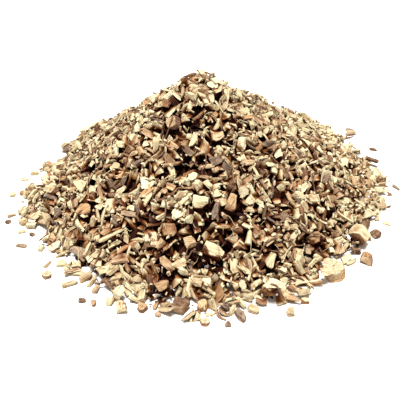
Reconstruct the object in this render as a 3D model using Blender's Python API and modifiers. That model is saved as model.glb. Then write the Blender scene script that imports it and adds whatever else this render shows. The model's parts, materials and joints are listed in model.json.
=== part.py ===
# A heap of dried, cut restharrow root, as it lies when a bag of it is poured out on a table.
# The heap is one mound of packed chips. The chips that stand out on its slope and those that
# lie loose around its foot are pieces of their own.
# Metres, +Z up. The origin is the middle of the heap's foot, on the surface that it lies on,
# and the heap is seen from -Y, with +X to the right.

import math
import random

import bmesh
import bpy
from mathutils import Matrix, Vector
from mathutils.bvhtree import BVHTree

MM = 0.001
SEED = 20

# The mound, in millimetres.
FOOT_RADIUS = 73.5
SLOPE = 0.765            # rise over run, the steepness at which the chips stop sliding
TIP_ROUNDING = 3.5
TIP_OFFSET = -6.0        # the tip stands left of the middle of the foot
FOOT_DEPTH = 5.0         # the mound starts this far below the surface and is cut off flat on it
FOOT_LOBES = (           # bearing in degrees, how far the foot spreads there, sharpness
    (20.0, 2.5, 4),
    (140.0, 2.5, 6),
    (-165.0, 8.5, 30),   # the tail of chips that have slid out to the left
    (-100.0, 2.2, 6),
    (-55.0, -3.5, 10),
)
MOUND_STEPS = 30
MOUND_RINGS = 5
RING_CROWDING = 1.7      # the rings of the mound stand closer together towards its tip

# The packed chips of the mound's skin, in millimetres. Those on the slope are spread evenly,
# and those on the foot lie flatter and make its edge ragged.
SLOPE_SKIN_CHIPS = 152
FOOT_SKIN_CHIPS = 38
SKIN_LENGTH = (6.5, 12.0)
SKIN_WIDTH = (4.2, 6.8)
SKIN_THICKNESS = (3.4, 5.6)
SKIN_TILT = 30.0         # degrees, the most that a chip leans out of the slope
FOOT_TILT = 12.0
FOOT_STRAY = (-1.5, 2.2) # how far the middle of a foot chip lies outside the mound's foot
FOOT_LIFT = 0.5          # height of the middle of a foot chip
SKIN_JITTER = 0.26       # how far a corner strays, as a share of the chip's side
GOLDEN_ANGLE = math.pi * (3.0 - math.sqrt(5.0))

# The chips that are pieces of their own.
CHIP_JITTER = 0.12       # how far a corner strays, as a share of the chip's side
CHUNK_BEVEL = 0.13       # worn corners of a chunk, as a share of its side
GAP = 0.4                # millimetres of room all round a chip that is bedded in the heap
BEDDED = 0.38            # share of a slope chip's thickness that is bedded in the skin
SKIN_LIFT = 1.2          # millimetres from the mound's surface to where those chips are bedded

# Finishes: colour (sRGB), roughness.
FINISHES = {
    "pale_wood": ((0.91, 0.83, 0.64), 0.78),
    "tan_wood": ((0.74, 0.59, 0.41), 0.80),
    "orange_wood": ((0.68, 0.46, 0.29), 0.80),
    "brown_bark": ((0.40, 0.29, 0.22), 0.88),
    "grey_bark": ((0.49, 0.42, 0.36), 0.88),
}

# Loose chips on the surface around the heap. Millimetres and degrees:
# name, form, finish, x, y, length, width, thickness, turn of the length from +X.
LOOSE_CHIPS = (
    ("loose_tan_slab_left_back", "slab", "tan_wood", -81, 12, 5.6, 4.6, 1.8, -8),
    ("loose_pale_chunk_left_back", "chunk", "pale_wood", -86, 5, 4.6, 2.8, 1.6, 12),
    ("loose_pale_flake_left_back", "slab", "pale_wood", -90, 0, 4.4, 1.8, 0.8, -12),
    ("loose_brown_crumb_left", "chunk", "brown_bark", -85, -4, 2.2, 1.9, 1.4, 30),
    ("loose_pale_chip_far_left", "chunk", "pale_wood", -92, -12, 3.0, 2.6, 1.6, 0),
    ("loose_tan_chip_left", "chunk", "tan_wood", -87.5, -10.5, 3.6, 2.8, 1.8, -15),
    ("loose_tan_splinter_left", "splinter", "tan_wood", -88, -26, 4.6, 1.9, 1.5, 32),
    ("loose_brown_chip_far_left", "chunk", "brown_bark", -88.5, -30.5, 3.1, 2.0, 1.3, 8),
    ("loose_tan_chunk_left", "chunk", "tan_wood", -82, -30.5, 4.8, 4.0, 2.4, 25),
    ("loose_pale_slab_left", "slab", "pale_wood", -81, -36.5, 3.8, 2.4, 1.0, 12),
    ("loose_brown_crumb_left_front", "chunk", "brown_bark", -76, -38, 2.4, 2.2, 1.8, -35),
    ("loose_grey_stick_left", "root", "grey_bark", -79, -45, 5.0, 2.2, 1.7, -8),
    ("loose_pale_cube_left", "chunk", "pale_wood", -70, -46.5, 3.0, 3.0, 2.2, 5),
    ("loose_pale_disc_left_front", "slice", "pale_wood", -64, -61, 4.9, 4.2, 1.7, 0),
    ("loose_rootlet_left_front", "splinter", "tan_wood", -65, -55, 5.4, 1.9, 1.5, 62),
    ("loose_flat_chip_left_front", "slab", "pale_wood", -59.5, -54.5, 4.4, 3.4, 1.4, 4),
    ("loose_pale_stub_left_front", "root", "pale_wood", -54, -65.5, 6.2, 2.8, 2.2, 28),
    ("loose_dark_bark_left_front", "slab", "brown_bark", -47.8, -73.4, 3.4, 1.8, 1.4, -5),
    ("loose_orange_oval_left_front", "slice", "orange_wood", -43.4, -74.2, 2.4, 4.0, 1.3, 12),
    ("loose_tan_cone_left_front", "splinter", "tan_wood", -43, -67.5, 4.8, 3.3, 2.6, 66),
    ("loose_pale_chunk_front_left", "chunk", "pale_wood", -37, -73.5, 3.4, 4.2, 2.2, 0),
    ("loose_rough_chunk_front_left", "chunk", "pale_wood", -32.2, -77, 4.4, 6.6, 3.0, 10),
    ("loose_round_slice_front_left", "slice", "tan_wood", -24.6, -76.5, 4.6, 4.4, 2.2, 0),
    ("loose_tan_sliver_front", "slab", "tan_wood", -19.8, -74.8, 4.4, 1.9, 1.2, 80),
    ("loose_brown_bit_front", "chunk", "brown_bark", -18.6, -79.2, 2.7, 2.4, 1.5, -12),
    ("large_bark_chunk_front", "chunk", "brown_bark", -10, -76, 7.6, 6.2, 4.2, -14),
    ("loose_brown_chunk_front", "chunk", "orange_wood", -2.6, -75, 4.4, 5.2, 3.0, 14),
    ("loose_pale_disc_front", "slice", "pale_wood", -1.4, -82.2, 3.9, 3.6, 1.4, 0),
    ("loose_thin_flake_front", "slab", "pale_wood", 0.6, -78.4, 4.6, 1.7, 0.8, 22),
    ("loose_brown_cube_front", "chunk", "brown_bark", 6.8, -83.2, 2.3, 2.2, 1.9, 20),
    ("loose_hollow_slice_front", "slice", "tan_wood", 11.6, -78.8, 3.8, 6.8, 2.2, 26),
    ("loose_grey_bark_front", "chunk", "grey_bark", 5.6, -75.6, 3.6, 3.8, 2.6, 40),
    ("loose_pale_wedge_front_right", "slab", "pale_wood", 16.6, -76.2, 5.4, 3.4, 1.8, -22),
    ("loose_pale_cube_front_right", "chunk", "pale_wood", 30, -77, 3.3, 3.2, 2.4, 4),
    ("loose_striped_chip_front_right", "slab", "pale_wood", 36, -71.5, 3.5, 3.0, 1.8, -18),
    ("large_root_slice_front_right", "slice", "pale_wood", 48.6, -56, 11.6, 12.6, 4.2, -30),
    ("loose_barked_chunk_right", "chunk", "tan_wood", 63.5, -49.5, 5.2, 6.0, 3.2, -24),
    ("loose_brown_chunk_right", "chunk", "brown_bark", 70.6, -34.2, 4.6, 4.6, 2.8, 30),
    ("loose_pale_sliver_right", "slab", "pale_wood", 77, -27, 3.8, 2.0, 0.9, -30),
    ("loose_brown_crumb_far_right", "chunk", "brown_bark", 83, -7, 2.5, 2.0, 1.3, 5),
    ("loose_grey_splinter_far_right", "splinter", "grey_bark", 87.5, -2, 6.0, 1.9, 1.4, -56),
    ("loose_brown_sliver_right_back", "slab", "brown_bark", 83, 30, 5.2, 1.8, 1.1, -12),
)

# Chips that stand out on the heap's slope, bedded in its skin. Millimetres and degrees:
# name, form, finish, x, y, length, width, thickness, turn of the length from +X, pitch.
SLOPE_CHIPS = (
    ("orange_slab_left", "chunk", "orange_wood", -52, -34, 7.8, 6.2, 3.4, 12, 4),
    ("pale_slab_left_edge", "slab", "pale_wood", -71, -31, 9.0, 5.0, 2.6, -28, 0),
    ("tan_disc_near_top", "slice", "tan_wood", -15, -15, 7.0, 6.4, 3.4, 0, 6),
    ("long_splinter_left", "splinter", "pale_wood", -38, -48, 14.0, 2.6, 2.2, 24, -5),
    ("tan_chunk_front", "chunk", "tan_wood", -7.4, -55.4, 5.4, 5.2, 4.4, 22, 6),
    ("rough_chunk_front", "chunk", "tan_wood", -15.4, -51, 6.4, 6.0, 4.4, -10, 4),
    ("brown_root_left_front", "root", "grey_bark", -51, -51, 9.8, 4.8, 4.4, -48, 0),
    ("pale_wedge_front", "slab", "pale_wood", 1.4, -58, 8.2, 5.0, 4.4, -26, -6),
    ("split_stick_front", "chunk", "tan_wood", -16, -61.6, 7.6, 3.6, 3.4, -62, -4),
    ("tan_stub_front_edge", "root", "tan_wood", -17.4, -67.8, 5.2, 4.8, 4.6, 8, 0),
    ("pale_splinter_front", "splinter", "pale_wood", 14.6, -52, 8.0, 3.3, 2.8, 92, 8),
    ("pale_stick_front_right", "slab", "pale_wood", 23, -57, 8.2, 3.4, 3.0, 84, 6),
    ("orange_cube_front_edge", "chunk", "orange_wood", 22, -68, 5.8, 5.2, 4.6, 16, 0),
    ("tan_chunk_right", "chunk", "tan_wood", 41, -45, 6.2, 5.2, 4.4, 34, 6),
    ("pale_wedge_right_edge", "chunk", "pale_wood", 61.5, -38.6, 9.4, 6.2, 5.2, -34, 0),
    ("pale_chunk_middle", "slab", "pale_wood", -4, -43, 6.2, 5.2, 3.2, -4, 4),
    ("tan_stick_middle", "slab", "tan_wood", 8, -42, 7.2, 4.2, 3.2, 78, 5),
)


def remove_all_objects():
    """Empties the scene that Blender opens with."""
    for old in list(bpy.data.objects):
        bpy.data.objects.remove(old, do_unlink=True)


def new_collection(name):
    """A collection in the scene."""
    made = bpy.data.collections.new(name)
    bpy.context.scene.collection.children.link(made)
    return made


def linear(channel):
    """One sRGB channel as linear light."""
    return channel / 12.92 if channel <= 0.04045 else ((channel + 0.055) / 1.055) ** 2.4


def finish_material(node_name, finish):
    """A piece's own Principled material in one of the finishes."""
    colour, roughness = FINISHES[finish]
    made = bpy.data.materials.new(f"{finish}_{node_name}")
    made.use_nodes = True
    shader = made.node_tree.nodes["Principled BSDF"]
    shader.inputs["Base Color"].default_value = (*(linear(c) for c in colour), 1.0)
    shader.inputs["Roughness"].default_value = roughness
    shader.inputs["Metallic"].default_value = 0.0
    return made


def foot_spread(bearing):
    """How far the foot spreads past FOOT_RADIUS at a bearing in radians, in millimetres."""
    spread = 0.0
    for lobe, reach, sharpness in FOOT_LOBES:
        spread += reach * max(0.0, math.cos(bearing - math.radians(lobe))) ** sharpness
    return spread


def profile_height(run):
    """Height of the turned mound, in millimetres, at a distance from its axis."""
    drop = math.hypot(run, TIP_ROUNDING) - TIP_ROUNDING
    full_drop = math.hypot(FOOT_RADIUS, TIP_ROUNDING) - TIP_ROUNDING
    return SLOPE * (full_drop - drop)


def mesh_from_evaluated(source, name):
    """The mesh of an object with its modifiers applied."""
    graph = bpy.context.evaluated_depsgraph_get()
    made = bpy.data.meshes.new_from_object(source.evaluated_get(graph))
    made.name = name
    return made


def turned_mound():
    """The mound without its chips: a turned cone with a round tip, which then leans and spreads."""
    profile = bpy.data.meshes.new("mound_profile")
    foot_run = FOOT_RADIUS + FOOT_DEPTH / SLOPE
    outer = []
    for ring in range(MOUND_RINGS + 1):
        run = foot_run * (ring / MOUND_RINGS) ** RING_CROWDING
        outer.append((run * MM, 0.0, profile_height(run) * MM))
    outer.append((0.0, 0.0, outer[-1][2]))
    edges = [(i, i + 1) for i in range(len(outer) - 1)]
    profile.from_pydata(outer, edges, [])
    mound = bpy.data.objects.new("mound", profile)
    bpy.context.scene.collection.objects.link(mound)
    screw = mound.modifiers.new("turn", "SCREW")
    screw.steps = MOUND_STEPS
    screw.render_steps = MOUND_STEPS
    screw.use_merge_vertices = True
    screw.merge_threshold = 0.0001
    screw.use_smooth_shade = False

    mesh = mesh_from_evaluated(mound, "mound")
    for vertex in mesh.vertices:
        x, y, z = vertex.co / MM
        run = math.hypot(x, y)
        if run > 0.0:
            stretch = 1.0 + foot_spread(math.atan2(y, x)) * run / FOOT_RADIUS ** 2
            x, y = x * stretch, y * stretch
        x += TIP_OFFSET * max(0.0, z / profile_height(0.0))
        vertex.co = Vector((x, y, z)) * MM
    mound.modifiers.clear()
    mound.data = mesh
    return mound


def ground_on_mound(tree, x, y):
    """The point of the mound's surface over (x, y) in metres, and the slope's normal there."""
    point, normal, _, _ = tree.ray_cast(Vector((x, y, 1.0)), Vector((0.0, 0.0, -1.0)))
    if point is None:
        return Vector((x, y, 0.0)), Vector((0.0, 0.0, 1.0))
    return point, normal if normal.z > 0.0 else -normal


def add_form(bm, form, length, width, thickness):
    """One of the forms that root breaks or is cut into, lying along X, centred on the origin."""
    size = Matrix.Diagonal((length, width, thickness, 1.0))
    along_x = Matrix.Rotation(math.radians(90.0), 4, "Y")
    if form == "slice":
        bmesh.ops.create_cone(bm, cap_ends=True, segments=12, radius1=0.5, radius2=0.46,
                              depth=1.0, matrix=size)
    elif form == "root":
        bmesh.ops.create_cone(bm, cap_ends=True, segments=8, radius1=0.5, radius2=0.44,
                              depth=1.0, matrix=size @ along_x)
    elif form == "splinter":
        bmesh.ops.create_cone(bm, cap_ends=True, segments=6, radius1=0.5, radius2=0.22,
                              depth=1.0, matrix=size @ along_x)
    else:
        bmesh.ops.create_cube(bm, size=1.0)
        if form == "chunk":
            bmesh.ops.bevel(bm, geom=bm.edges[:], offset=CHUNK_BEVEL, segments=1,
                            affect="EDGES", profile=0.5)
        bmesh.ops.transform(bm, matrix=size, verts=bm.verts)


def close_around_points(bm):
    """Replaces the faces by the convex hull of the points, so that every face stays flat."""
    bmesh.ops.delete(bm, geom=bm.edges[:], context="EDGES_FACES")
    hull = bmesh.ops.convex_hull(bm, input=bm.verts[:])
    inside = [item for item in hull["geom_interior"] if isinstance(item, bmesh.types.BMVert)]
    bmesh.ops.delete(bm, geom=inside, context="VERTS")
    bmesh.ops.recalc_face_normals(bm, faces=bm.faces[:])


def chip_mesh(name, form, size, jitter, rng, flat_underside=False):
    """A chip of one form and size in metres with corners strayed by a share of its sides."""
    length, width, thickness = size
    bm = bmesh.new()
    add_form(bm, form, length, width, thickness)
    for vertex in bm.verts:
        underside = vertex.co.z < -0.2 * thickness
        vertex.co.x += length * jitter * rng.uniform(-0.5, 0.5)
        vertex.co.y += width * jitter * rng.uniform(-0.5, 0.5)
        vertex.co.z += thickness * jitter * rng.uniform(-0.5, 0.5)
        if flat_underside:
            vertex.co.z = 0.0 if underside else vertex.co.z + 0.5 * thickness
    close_around_points(bm)
    mesh = bpy.data.meshes.new(name)
    bm.to_mesh(mesh)
    bm.free()
    return mesh


def widened(mesh, name, room):
    """A copy of a convex mesh with its sides moved out by about the room."""
    made = mesh.copy()
    made.name = name
    low = [min(v.co[axis] for v in made.vertices) for axis in range(3)]
    high = [max(v.co[axis] for v in made.vertices) for axis in range(3)]
    for vertex in made.vertices:
        for axis in range(3):
            middle = 0.5 * (low[axis] + high[axis])
            grow = 1.0 + 2.0 * room / (high[axis] - low[axis])
            vertex.co[axis] = middle + (vertex.co[axis] - middle) * grow
    return made


def slope_frame(point, normal, turn, pitch):
    """Places a chip on the slope: its thickness along the normal, its length by turn and pitch."""
    heading = Vector((math.cos(turn), math.sin(turn), 0.0))
    side = normal.cross(heading).normalized()
    ahead = side.cross(normal).normalized()
    turned = Matrix((ahead, side, normal)).transposed().to_4x4()
    return Matrix.Translation(point) @ turned @ Matrix.Rotation(-pitch, 4, "Y")


def add_skin_chip(name, place, tilt, rng, holder):
    """One packed chip, which leans and rolls by up to the tilt, in degrees."""
    size = [rng.uniform(*sides) * MM for sides in (SKIN_LENGTH, SKIN_WIDTH, SKIN_THICKNESS)]
    chip = bpy.data.objects.new(name, chip_mesh(name, "slab", size, SKIN_JITTER, rng))
    lean = Matrix.Rotation(math.radians(tilt) * rng.uniform(-1.0, 1.0), 4, "Y")
    roll = Matrix.Rotation(math.radians(tilt) * rng.uniform(-1.0, 1.0), 4, "X")
    chip.matrix_world = place @ lean @ roll
    chip.hide_render = True
    chip.display_type = "WIRE"
    holder.objects.link(chip)


def add_skin_chips(tree, rng, holder):
    """The skin: a chip every golden angle over the slope, and a ring of chips on the foot."""
    for index in range(SLOPE_SKIN_CHIPS):
        reach = math.sqrt((index + 0.5) / SLOPE_SKIN_CHIPS)
        bearing = index * GOLDEN_ANGLE
        run = (FOOT_RADIUS + foot_spread(bearing)) * reach * MM
        x = run * math.cos(bearing) + TIP_OFFSET * MM * (1.0 - reach)
        y = run * math.sin(bearing)
        point, normal = ground_on_mound(tree, x, y)
        place = slope_frame(point, normal, rng.uniform(0.0, math.tau), 0.0)
        add_skin_chip(f"slope_skin_{index:03d}", place, SKIN_TILT, rng, holder)
    for index in range(FOOT_SKIN_CHIPS):
        bearing = math.tau * (index + rng.uniform(-0.3, 0.3)) / FOOT_SKIN_CHIPS
        run = (FOOT_RADIUS + foot_spread(bearing) + rng.uniform(*FOOT_STRAY)) * MM
        point = Vector((run * math.cos(bearing), run * math.sin(bearing), FOOT_LIFT * MM))
        place = slope_frame(point, Vector((0.0, 0.0, 1.0)), rng.uniform(0.0, math.tau), 0.0)
        add_skin_chip(f"foot_skin_{index:03d}", place, FOOT_TILT, rng, holder)


def add_chip(name, finish, mesh, place, parts, pockets):
    """A chip as a piece of its own, and the slightly larger pocket that it needs in the heap."""
    chip = bpy.data.objects.new(name, mesh)
    chip.matrix_world = place
    mesh.materials.append(finish_material(name, finish))
    parts.objects.link(chip)
    pocket = bpy.data.objects.new(f"pocket_{name}", widened(mesh, f"pocket_{name}", GAP * MM))
    pocket.matrix_world = place
    pocket.hide_render = True
    pocket.display_type = "WIRE"
    pockets.objects.link(pocket)


def add_loose_chips(rng, parts, pockets):
    """The chips that lie flat on the surface around the heap."""
    for name, form, finish, x, y, length, width, thickness, turn in LOOSE_CHIPS:
        size = (length * MM, width * MM, thickness * MM)
        mesh = chip_mesh(name, form, size, CHIP_JITTER, rng, flat_underside=True)
        place = (Matrix.Translation((x * MM, y * MM, 0.0))
                 @ Matrix.Rotation(math.radians(turn), 4, "Z"))
        add_chip(name, finish, mesh, place, parts, pockets)


def add_slope_chips(tree, rng, parts, pockets):
    """The chips that stand out on the slope, none of them lower than the surface."""
    for name, form, finish, x, y, length, width, thickness, turn, pitch in SLOPE_CHIPS:
        size = (length * MM, width * MM, thickness * MM)
        mesh = chip_mesh(name, form, size, CHIP_JITTER, rng)
        point, normal = ground_on_mound(tree, x * MM, y * MM)
        point = point + normal * ((0.5 - BEDDED) * thickness + SKIN_LIFT) * MM
        place = slope_frame(point, normal, math.radians(turn), math.radians(pitch))
        lowest = min((place @ vertex.co).z for vertex in mesh.vertices)
        if lowest < 0.0:
            place = Matrix.Translation((0.0, 0.0, -lowest)) @ place
        add_chip(name, finish, mesh, place, parts, pockets)


def boolean(target, operation, solver, collection=None, other=None):
    """A Boolean modifier with one object or a whole collection as its operand."""
    cut = target.modifiers.new(operation.lower(), "BOOLEAN")
    cut.operation = operation
    cut.solver = solver
    if collection:
        cut.operand_type = "COLLECTION"
        cut.collection = collection
    else:
        cut.object = other


def keep_largest_shell(mesh):
    """Drops chips that the cuts left loose and hollows that the joined chips closed in."""
    bm = bmesh.new()
    bm.from_mesh(mesh)
    unseen = set(bm.faces)
    shells = []
    while unseen:
        front = [unseen.pop()]
        shell = set(front)
        while front:
            face = front.pop()
            for edge in face.edges:
                for neighbour in edge.link_faces:
                    if neighbour in unseen:
                        unseen.discard(neighbour)
                        shell.add(neighbour)
                        front.append(neighbour)
        shells.append(shell)
    shells.sort(key=len)
    for shell in shells[:-1]:
        bmesh.ops.delete(bm, geom=list(shell), context="FACES")
    bm.to_mesh(mesh)
    bm.free()


def finish_heap(mound, skin, pockets, cutters, parts):
    """Joins the skin to the mound, cuts it flat on the surface and frees the separate chips."""
    bpy.ops.mesh.primitive_cube_add(size=1.0)
    ground = bpy.context.object
    ground.name = "ground_cutter"
    depth = 3.0 * FOOT_DEPTH * MM
    ground.scale = (4.0 * FOOT_RADIUS * MM, 4.0 * FOOT_RADIUS * MM, depth)
    ground.location.z = -0.5 * depth
    ground.hide_render = True
    ground.display_type = "WIRE"
    bpy.context.collection.objects.unlink(ground)
    cutters.objects.link(ground)

    # EXACT loses the whole mound in the ground cut, so the two cuts use MANIFOLD.
    boolean(mound, "UNION", "EXACT", collection=skin)
    boolean(mound, "DIFFERENCE", "MANIFOLD", other=ground)
    boolean(mound, "DIFFERENCE", "MANIFOLD", collection=pockets)
    mesh = mesh_from_evaluated(mound, "chip_heap")
    keep_largest_shell(mesh)
    mesh.materials.clear()
    mesh.materials.append(finish_material("chip_heap", "tan_wood"))
    for polygon in mesh.polygons:
        polygon.material_index = 0
    heap = bpy.data.objects.new("chip_heap", mesh)
    parts.objects.link(heap)
    bpy.data.objects.remove(mound, do_unlink=True)
    return heap


def main():
    """Builds the heap, its separate chips and the loose chips around it."""
    remove_all_objects()
    rng = random.Random(SEED)
    parts = new_collection("restharrow_root_heap")
    cutters = new_collection("cutters")
    skin = new_collection("skin_chips")
    pockets = new_collection("pockets")

    mound = turned_mound()
    tree = BVHTree.FromPolygons([v.co for v in mound.data.vertices],
                                [p.vertices for p in mound.data.polygons])
    add_skin_chips(tree, rng, skin)
    add_loose_chips(rng, parts, pockets)
    add_slope_chips(tree, rng, parts, pockets)
    finish_heap(mound, skin, pockets, cutters, parts)


main()
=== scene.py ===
# Dried, cut restharrow root poured out as a heap, with loose chips around its foot.
# Sizes are in millimetres unless a note says otherwise, and mm turns them into metres.

import json

import bpy
import numpy as np
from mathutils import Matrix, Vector


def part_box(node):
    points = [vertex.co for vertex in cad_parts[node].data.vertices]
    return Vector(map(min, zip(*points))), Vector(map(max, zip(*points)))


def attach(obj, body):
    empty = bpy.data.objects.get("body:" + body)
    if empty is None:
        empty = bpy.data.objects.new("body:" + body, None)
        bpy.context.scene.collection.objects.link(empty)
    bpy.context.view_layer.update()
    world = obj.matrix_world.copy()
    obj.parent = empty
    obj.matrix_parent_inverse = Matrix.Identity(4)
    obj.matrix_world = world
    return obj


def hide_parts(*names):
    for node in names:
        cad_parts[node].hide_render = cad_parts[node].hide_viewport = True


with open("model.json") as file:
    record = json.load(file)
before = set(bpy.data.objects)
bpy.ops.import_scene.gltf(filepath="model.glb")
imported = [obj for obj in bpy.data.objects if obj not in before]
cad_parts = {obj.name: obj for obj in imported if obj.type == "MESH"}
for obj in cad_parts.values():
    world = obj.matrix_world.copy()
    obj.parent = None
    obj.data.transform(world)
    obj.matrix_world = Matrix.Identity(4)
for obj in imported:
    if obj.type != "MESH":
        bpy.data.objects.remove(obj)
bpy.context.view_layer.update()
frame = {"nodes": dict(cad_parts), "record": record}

mm = 0.001
seeds = {"pour": 31, "chips": 47, "nodes": 59}     # of the random draws


def linear(hexColour):
    # an sRGB hex colour as linear red, green, blue and alpha
    channels = [int(hexColour[i:i + 2], 16) / 255 for i in (1, 3, 5)]
    lit = [c / 12.92 if c <= 0.04045 else ((c + 0.055) / 1.055) ** 2.4 for c in channels]
    return lit + [1.0]


def addNode(tree, kind, settings=None, links=None):
    # one shader node; settings go to its sockets or properties, links come from other sockets
    node = tree.nodes.new("ShaderNode" + kind)
    for key, value in (settings or {}).items():
        if isinstance(key, int) or key in node.inputs:
            node.inputs[key].default_value = value
        else:
            setattr(node, key, value)
    for key, source in (links or {}).items():
        tree.links.new(source, node.inputs[key])
    return node


def addRamp(tree, source, stops):
    # a colour ramp whose stops are (position, hex colour)
    ramp = addNode(tree, "ValToRGB", links={"Fac": source})
    while len(ramp.color_ramp.elements) < len(stops):
        ramp.color_ramp.elements.new(0.5)
    for element, (place, colour) in zip(ramp.color_ramp.elements, stops):
        element.position = place
        element.color = linear(colour)
    return ramp.outputs["Color"]


def blend(tree, share, under, over, kind="MIX"):
    # two colours mixed or multiplied; each value is another node's socket or a constant
    values = {0: share, 6: under, 7: over}
    links = {key: value for key, value in values.items() if isinstance(value, bpy.types.NodeSocket)}
    settings = {key: value for key, value in values.items() if key not in links}
    settings = {"data_type": "RGBA", "blend_type": kind, **settings}
    return addNode(tree, "Mix", settings, links).outputs[2]


def openMaterial(name, *attributes):
    # a new material with its shader, and the attributes of the mesh that it reads
    made = bpy.data.materials.new(name)
    made.use_nodes = True
    tree = made.node_tree
    read = [addNode(tree, "Attribute", {"attribute_name": label}) for label in attributes]
    return made, tree, read


def closeMaterial(tree, colour, cork, relief, ridges, look):
    # matt dry wood: the colour, one bump from the relief of the wood or the ridges of the cork,
    # and the shader's own constants
    shader = tree.nodes["Principled BSDF"]
    height = addNode(tree, "Mix", {"data_type": "FLOAT"}, {0: cork, 2: relief, 3: ridges})
    bump = addNode(tree, "Bump", {"Strength": look["bump"], "Distance": woodLook["bumpHeight"] * mm},
                   {"Height": height.outputs[0]})
    tree.links.new(colour, shader.inputs["Base Color"])
    tree.links.new(bump.outputs["Normal"], shader.inputs["Normal"])
    shader.inputs["Roughness"].default_value = look["roughness"]
    shader.inputs["IOR"].default_value = 1.5
    shader.inputs["Specular IOR Level"].default_value = look["specular"]


# What dried root wood looks like: a cut end shows pale rays with open pores, a split side
# shows fibres along the grain, and the cork outside is brown, wrinkled lengthwise and matt.
woodLook = {
    "fibreWidth": 0.42,      # bundles of fibres, drawn coarser than the real 0.05 so that they show
    "fibreStretch": 0.09,    # their width over their length
    "blotchWidth": 1.7,
    "poreSpacing": 0.34,
    "corkRidge": 0.55,
    "corkStops": (0.36, 0.50, 0.66),
    "streaks": 0.78,         # how strongly the fibres darken the wood
    "pores": 0.8,            # and the pores a cut end
    "endShare": 0.5,         # how much of the colour of a cut end shows
    "bumpHeight": 0.24,
    "bump": 0.85,
    "roughness": 0.84,
    "specular": 0.15,
    "paintedShadeTints": ("#FFFFFF", "#A06C40", "#4A200C"),   # painted shade between the chips, from none to nearly black
    "paintedShadeStops": (0.0, 0.40, 0.85),
}

woodKinds = {
    "paleWood": {      # root wood cut across and split, cream where freshly cut
        "face": ("#AF9A7B", "#C8B895", "#D5CAA6", "#DBD3B2"),
        "cork": ("#5B3D2C", "#8A6549", "#B18C68"),
        "end": "#D9D0AE"},
    "tanWood": {       # older heartwood, split, tan with darker bundles
        "face": ("#93704E", "#AF8F6C", "#C2A986", "#CFBB9A"),
        "cork": ("#4A3023", "#74523E", "#9A7657"),
        "end": "#DECAA2"},
    "orangeWood": {    # resin-stained wood next to the cork, orange brown
        "face": ("#9A7450", "#B48C64", "#C6A27A", "#D2B48E"),
        "cork": ("#54392A", "#80604A", "#A58468"),
        "end": "#D8BA94"},
    "brownBark": {     # dried cork, wrinkled as it shrank, matt brown
        "face": ("#6A4C38", "#8A6B50", "#A5886A", "#BA9E80"),
        "cork": ("#432F22", "#6C503B", "#93755A"),
        "end": "#CDB595"},
    "greyBark": {      # weathered outer cork, matt grey brown
        "face": ("#6E5A47", "#8C7560", "#A68F78", "#BBA68E"),
        "cork": ("#463629", "#6F5B4B", "#93806D"),
        "end": "#D6C4A2"},
}


def rootMaterial(name, kind):
    # colour = ramp over the chip's own tone, darkened along the fibres, then cork where the
    # chip has cork, pores where it is cut across, and painted shade where it lies deep between the chips
    look = woodLook
    # gap is how much painted shade a point gets
    made, tree, (grain, *rest) = openMaterial(name, "grain", "tone", "cork", "cutEnd", "gap")
    grain = grain.outputs["Vector"]
    tone, cork, cutEnd, gap = (node.outputs["Fac"] for node in rest)

    along = addNode(tree, "Mapping", {"Scale": (1.0, 1.0, look["fibreStretch"])}, {"Vector": grain})
    fibres = addNode(tree, "TexNoise", {"Scale": 1.0 / look["fibreWidth"], "Detail": 3.0,
                                        "Roughness": 0.62}, {"Vector": along.outputs["Vector"]})
    blotches = addNode(tree, "TexNoise", {"Scale": 1.0 / look["blotchWidth"], "Detail": 2.0},
                       {"Vector": grain})
    pores = addNode(tree, "TexVoronoi", {"Scale": 1.0 / look["poreSpacing"]},
                    {"Vector": along.outputs["Vector"]})
    ridges = addNode(tree, "TexNoise", {"Scale": 1.0 / look["corkRidge"], "Detail": 4.0,
                                        "Roughness": 0.7, "Distortion": 0.6},
                     {"Vector": addNode(tree, "Mapping", {"Scale": (1.0, 1.0, 0.3)},
                                        {"Vector": grain}).outputs["Vector"]})

    # the chip's tone, moved a little by the blotches
    moved = addNode(tree, "Math", {"operation": "MULTIPLY_ADD", 1: 0.55, 2: -0.27},
                    {0: blotches.outputs["Fac"]})
    spread = addNode(tree, "Math", {"operation": "ADD", "use_clamp": True},
                     {0: tone, 1: moved.outputs["Value"]})
    face = addRamp(tree, spread.outputs["Value"],
                   list(zip((0.0, 0.33, 0.66, 1.0), kind["face"])))
    fibreShade = addRamp(tree, fibres.outputs["Fac"],
                         ((0.36, "#8E7657"), (0.45, "#E2D7C2"), (0.54, "#FFFFFF")))
    streaked = blend(tree, look["streaks"], face, fibreShade, "MULTIPLY")

    poreMask = addRamp(tree, pores.outputs["Distance"],
                       ((0.10, "#7A5A3C"), (0.30, "#FFFFFF")))
    endColour = blend(tree, look["pores"], linear(kind["end"]), poreMask, "MULTIPLY")
    endShare = addNode(tree, "Math", {"operation": "MULTIPLY", 1: look["endShare"]}, {0: cutEnd})
    cutWood = blend(tree, endShare.outputs["Value"], streaked, endColour)

    corkColour = addRamp(tree, ridges.outputs["Fac"], list(zip(look["corkStops"], kind["cork"])))
    withCork = blend(tree, cork, cutWood, corkColour)
    # painted shade: the deeper a chip lies between others, the darker its colour is made, for the shadow
    # there
    paintedShadeColour = addRamp(tree, gap, list(zip(look["paintedShadeStops"], look["paintedShadeTints"])))
    shaded = blend(tree, 1.0, withCork, paintedShadeColour, "MULTIPLY")
    closeMaterial(tree, shaded, cork, fibres.outputs["Fac"], ridges.outputs["Fac"], look)
    return made


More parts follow.
